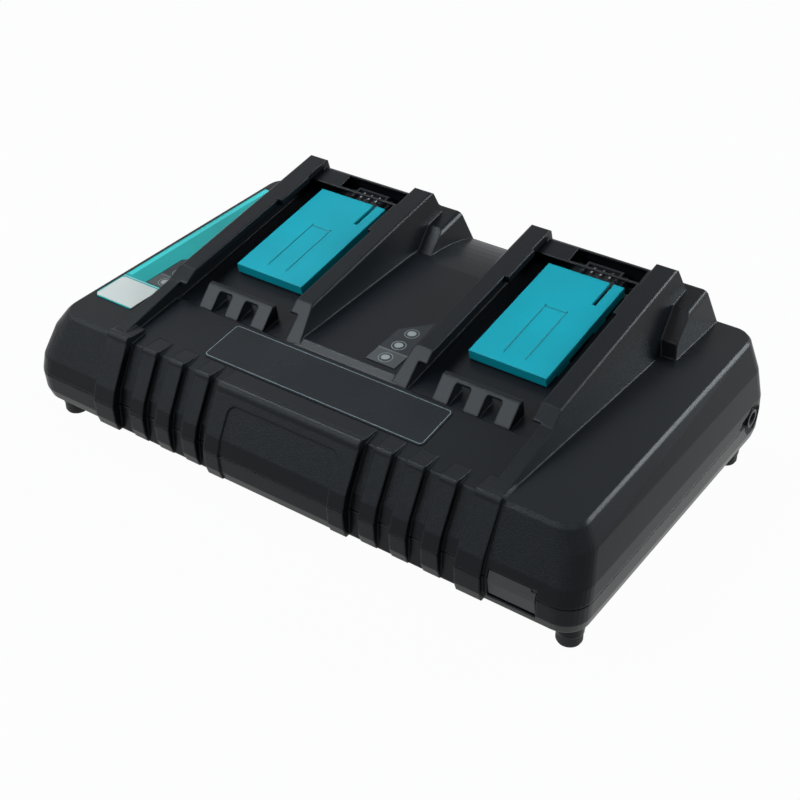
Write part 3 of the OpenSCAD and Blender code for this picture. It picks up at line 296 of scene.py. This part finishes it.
def indicator_material(name, cx, cy):
    """Foil round three windows: a ring at each, and a lighter field round the front one."""
    m, color, x, y = printed_foil(name, (0.016, 0.018, 0.020), 0.42)
    line = (0.17, 0.18, 0.18)
    front = m.span(y, cy + FIELD_EDGE[0], cy + FIELD_EDGE[1], 1, 0)
    color = m.mix(front, color, (0.045, 0.049, 0.050))
    for i in (-1, 0, 1):
        dx = m.math("POWER", m.math("SUBTRACT", x, cx), 2.0)
        dy = m.math("POWER", m.math("SUBTRACT", y, cy + WINDOW_PITCH * i), 2.0)
        r = m.math("SQRT", m.math("ADD", dx, dy))
        color = m.mix(m.band(r, *RING), color, line)
        color = m.mix(m.band(r, *DISC), color, (0.030, 0.033, 0.034))
    for at in FIELD_LINES:
        color = m.mix(m.band(y, cy + at, cy + at + FIELD_LINE), color, line)
    m.set("Base Color", color)
    return m.m


def side_label_material():
    """Teal foil with a bare pale field at its front end and a lighter strip on the left."""
    m, color, x, y = printed_foil("side_label_foil", (0.003, 0.205, 0.20), 0.36)
    strip = m.math("MULTIPLY", m.band(x, *STRIP_X), m.span(y, *STRIP_START, 0, 1))
    color = m.mix(strip, color, (0.03, 0.36, 0.36))
    pale = m.inset(x, y, PALE_BOX, PALE_CORNER)
    color = m.mix(m.span(pale, -PALE_SOFT, PALE_SOFT, 0, 1), color, (0.38, 0.39, 0.37))
    m.set("Base Color", m.mix(m.band(y, *RULE_Y), color, (0.30, 0.45, 0.44)))
    return m.m


SPRING = metal("spring_wire", (0.60, 0.61, 0.63), 0.25)
FINISH = {
    "shell": shell_material(),
    "cover_teal": cover_material(),
    "inner_plastic": plain_plastic("inner_plastic", (0.016, 0.017, 0.019), 0.5),
    "fan_plastic": plain_plastic("fan_plastic", (0.02, 0.021, 0.023), 0.38),
    "contacts": metal("contact_tin", (0.30, 0.30, 0.31), 0.38),
    "spring_steel": SPRING,
    "screw_steel": metal("screw_zinc", (0.58, 0.59, 0.60), 0.32),
    "circuit_board": board_material(),
    "ferrite": plain_plastic("ferrite", (0.05, 0.045, 0.04), 0.7, 900, 0.00008),
    "heat_sink": metal("heat_sink", (0.72, 0.73, 0.74), 0.35, (1, 1, 12)),
    "capacitor_sleeve": plain_plastic("capacitor_sleeve", (0.02, 0.024, 0.05), 0.3),
    "winding": metal("winding", (0.66, 0.32, 0.14), 0.35, (12, 1, 12)),
    "light_pipe": plain_plastic("light_pipe", (0.19, 0.20, 0.20), 0.30, 700, 0.00004),
    "rubber": plain_plastic("rubber", (0.014, 0.015, 0.017), 0.5, 1100, 0.00005, 0.4),
    "foot_rubber": plain_plastic("foot_rubber", (0.010, 0.010, 0.011), 0.7, 900, 0.00008, 0.3),
}
FOILS = {
    "nameplate": nameplate_material(),
    "side_label": side_label_material(),
    "indicator_label_left": indicator_material(
        "indicator_foil_left", -108.8 * MM, -17.21 * MM),
    "indicator_label_right": indicator_material(
        "indicator_foil_right", 13.7 * MM, -14.51 * MM),
}
slot_of = {s["node"]: s["material_slot"] for s in frame["record"]["subparts"]}
for name, o in nodes.items():
    material = FOILS.get(name) or FINISH[slot_of[name]]
    if not o.material_slots:
        o.data.materials.append(material)
    for ms in o.material_slots:
        ms.material = material

# ---------------------------------------------------------------- return springs
SLOPE = math.radians(10.5)                  # slope of a port
PORT_X = 62.5 * MM                          # from the middle to the middle of a port
PORT_Y, PORT_Z = 24.992 * MM, 66.1 * MM     # origin of a port on its channel floor
COIL_U, COIL_W = -17.95 * MM, -8.5 * MM     # axis of the spring, beside and below the floor
COIL_V0, COIL_V1 = 16 * MM, 46.8 * MM       # its front and rear ends
COIL_R, WIRE_R = 2.6 * MM, 0.35 * MM
TURNS = 8
TURN_STEPS, WIRE_SIDES = 28, 10
END_RISE = 0.035                            # share of the length that an end turn takes
END_GAP = 0.05 * MM


def port_point(side, u, v, w):
    """A point across, along and above the floor of the left (-1) or right (1) port."""
    return Vector((side * PORT_X + u, PORT_Y + v * math.cos(SLOPE) - w * math.sin(SLOPE),
                   PORT_Z + v * math.sin(SLOPE) + w * math.cos(SLOPE)))


def coil_advance(t):
    """Share of the length that the wire has come along after the share t of its turns."""
    closed = 1.0 / TURNS
    if t < closed:
        return END_RISE * t / closed
    if t > 1 - closed:
        return 1 - END_RISE * (1 - t) / closed
    return END_RISE + (1 - 2 * END_RISE) * (t - closed) / (1 - 2 * closed)


def coil_mesh(side, name):
    """A round wire in a coil with close end turns, its two ends capped."""
    steps = TURNS * TURN_STEPS
    low = COIL_V0 + WIRE_R + END_GAP
    length = COIL_V1 - COIL_V0 - 2 * (WIRE_R + END_GAP)
    bm = bmesh.new()
    rings = []
    for i in range(steps + 1):
        t = i / steps
        turn = 2 * math.pi * TURNS * t
        ring = []
        for k in range(WIRE_SIDES):
            a = 2 * math.pi * k / WIRE_SIDES
            r = COIL_R + WIRE_R * math.cos(a)
            v = low + length * coil_advance(t) + WIRE_R * math.sin(a)
            ring.append(bm.verts.new(port_point(
                side, COIL_U + r * math.cos(turn), v, COIL_W + r * math.sin(turn))))
        rings.append(ring)
    for one, two in zip(rings, rings[1:]):
        for k in range(WIRE_SIDES):
            n = (k + 1) % WIRE_SIDES
            bm.faces.new((one[k], two[k], two[n], one[n]))
    bm.faces.new(rings[0])
    bm.faces.new(rings[-1][::-1])
    bmesh.ops.recalc_face_normals(bm, faces=bm.faces)
    mesh = bpy.data.meshes.new(name)
    bm.to_mesh(mesh)
    bm.free()
    for face in mesh.polygons:
        face.use_smooth = len(face.vertices) == 4
    mesh.materials.append(SPRING)
    return mesh


def return_spring(side, word):
    """Round wire spring for a cover that slides back, built at one fixed length on the
    housing.
    """
    name = "return_spring_" + word
    o = bpy.data.objects.new(name, coil_mesh(side, name))
    bpy.context.scene.collection.objects.link(o)
    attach(o, HOUSING)
    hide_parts("cover_spring_" + word)
    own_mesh(o)


return_spring(-1, "left")
return_spring(1, "right")

# ---------------------------------------------------------------- camera
CAMERA_AT = (0.3049, -0.4233, 0.3797)
CAMERA_AIM = (-0.0003, 0.0060, 0.0146)
LENS, SENSOR = 63.75, 36                    # in millimetres

scene = bpy.context.scene


def turn_to(o, where, aim):
    """Puts a camera or lamp at a place and points it at another."""
    o.location = where
    o.rotation_euler = (Vector(aim) - Vector(where)).to_track_quat("-Z", "Y").to_euler()


cam = bpy.data.objects.new("camera", bpy.data.cameras.new("camera"))
scene.collection.objects.link(cam)
turn_to(cam, CAMERA_AT, CAMERA_AIM)
cam.data.lens = LENS
cam.data.sensor_width = SENSOR
cam.data.clip_start = 0.01
scene.camera = cam

# ---------------------------------------------------------------- light
WHITE = (1, 1, 1, 1)
COOL = (0.87, 0.95, 1.0)


def build_world():
    """White where it is seen; it lights the part from low behind, and is dim elsewhere."""
    world = bpy.data.worlds.new("studio")
    scene.world = world
    world.use_nodes = True
    tree = Tree(world.node_tree)
    tree.tree.nodes.clear()
    way = tree.add("ShaderNodeTexCoord").outputs["Generated"]
    height = tree.span(tree.split(way, 2), 0.10, 0.40, 1.20, 0.03, "SMOOTHSTEP")
    back = tree.span(tree.split(way, 1), -0.4, 0.5, 0.12, 1.0, "SMOOTHSTEP")
    lit = tree.add("ShaderNodeBackground", {
        "Color": (0.88, 0.95, 1.0, 1), "Strength": tree.math("MULTIPLY", height, back)})
    seen = tree.add("ShaderNodeBackground", {"Color": WHITE, "Strength": 1.0})
    mixer = tree.add("ShaderNodeMixShader", {
        0: tree.background_rays(), 1: lit.outputs[0], 2: seen.outputs[0]})
    tree.add("ShaderNodeOutputWorld", {"Surface": mixer.outputs[0]})


def softbox(name, where, aim, width, height, power):
    lamp = bpy.data.lights.new(name, "AREA")
    lamp.shape = "RECTANGLE"
    lamp.size = width
    lamp.size_y = height
    lamp.energy = power
    lamp.color = COOL
    o = bpy.data.objects.new(name, lamp)
    scene.collection.objects.link(o)
    turn_to(o, where, aim)


build_world()
softbox("key_front_left", (-0.66, -0.80, 0.86), (0, 0, 0.04), 0.75, 0.75, 17)
softbox("fill_top", (0.35, -0.15, 1.20), (0, 0, 0.04), 0.9, 0.7, 5)
softbox("rim_back", (0.72, 0.86, 0.60), (0, 0, 0.05), 0.50, 0.40, 18)
softbox("edge_left", (-0.62, 0.0, 1.14), (0, 0, 0.05), 0.30, 0.30, 8)

# ---------------------------------------------------------------- floor
FLOOR_REACH = 4
GLOW_SHARE = 0.97                           # the rest of the floor keeps the shadow


def floor_material():
    """Nearly white where it is seen, with a soft shadow; grey to the light itself."""
    m = Mat("floor", (0.24, 0.25, 0.26), 0.9, spec=0.1)
    glow = m.add("ShaderNodeEmission", {"Color": WHITE, "Strength": 1.0})
    mixer = m.add("ShaderNodeMixShader", {
        0: m.math("MULTIPLY", m.background_rays(), GLOW_SHARE),
        1: m.bsdf.outputs[0], 2: glow.outputs[0]})
    m.feed(m.tree.nodes["Material Output"].inputs["Surface"], mixer.outputs[0])
    return m.m


mesh = bpy.data.meshes.new("floor")
mesh.from_pydata([(x * FLOOR_REACH, y * FLOOR_REACH, 0)
                  for x, y in ((-1, -1), (1, -1), (1, 1), (-1, 1))], [], [(0, 1, 2, 3)])
floor = bpy.data.objects.new("floor", mesh)
scene.collection.objects.link(floor)
floor.data.materials.append(floor_material())

scene.view_settings.view_transform = "Standard"
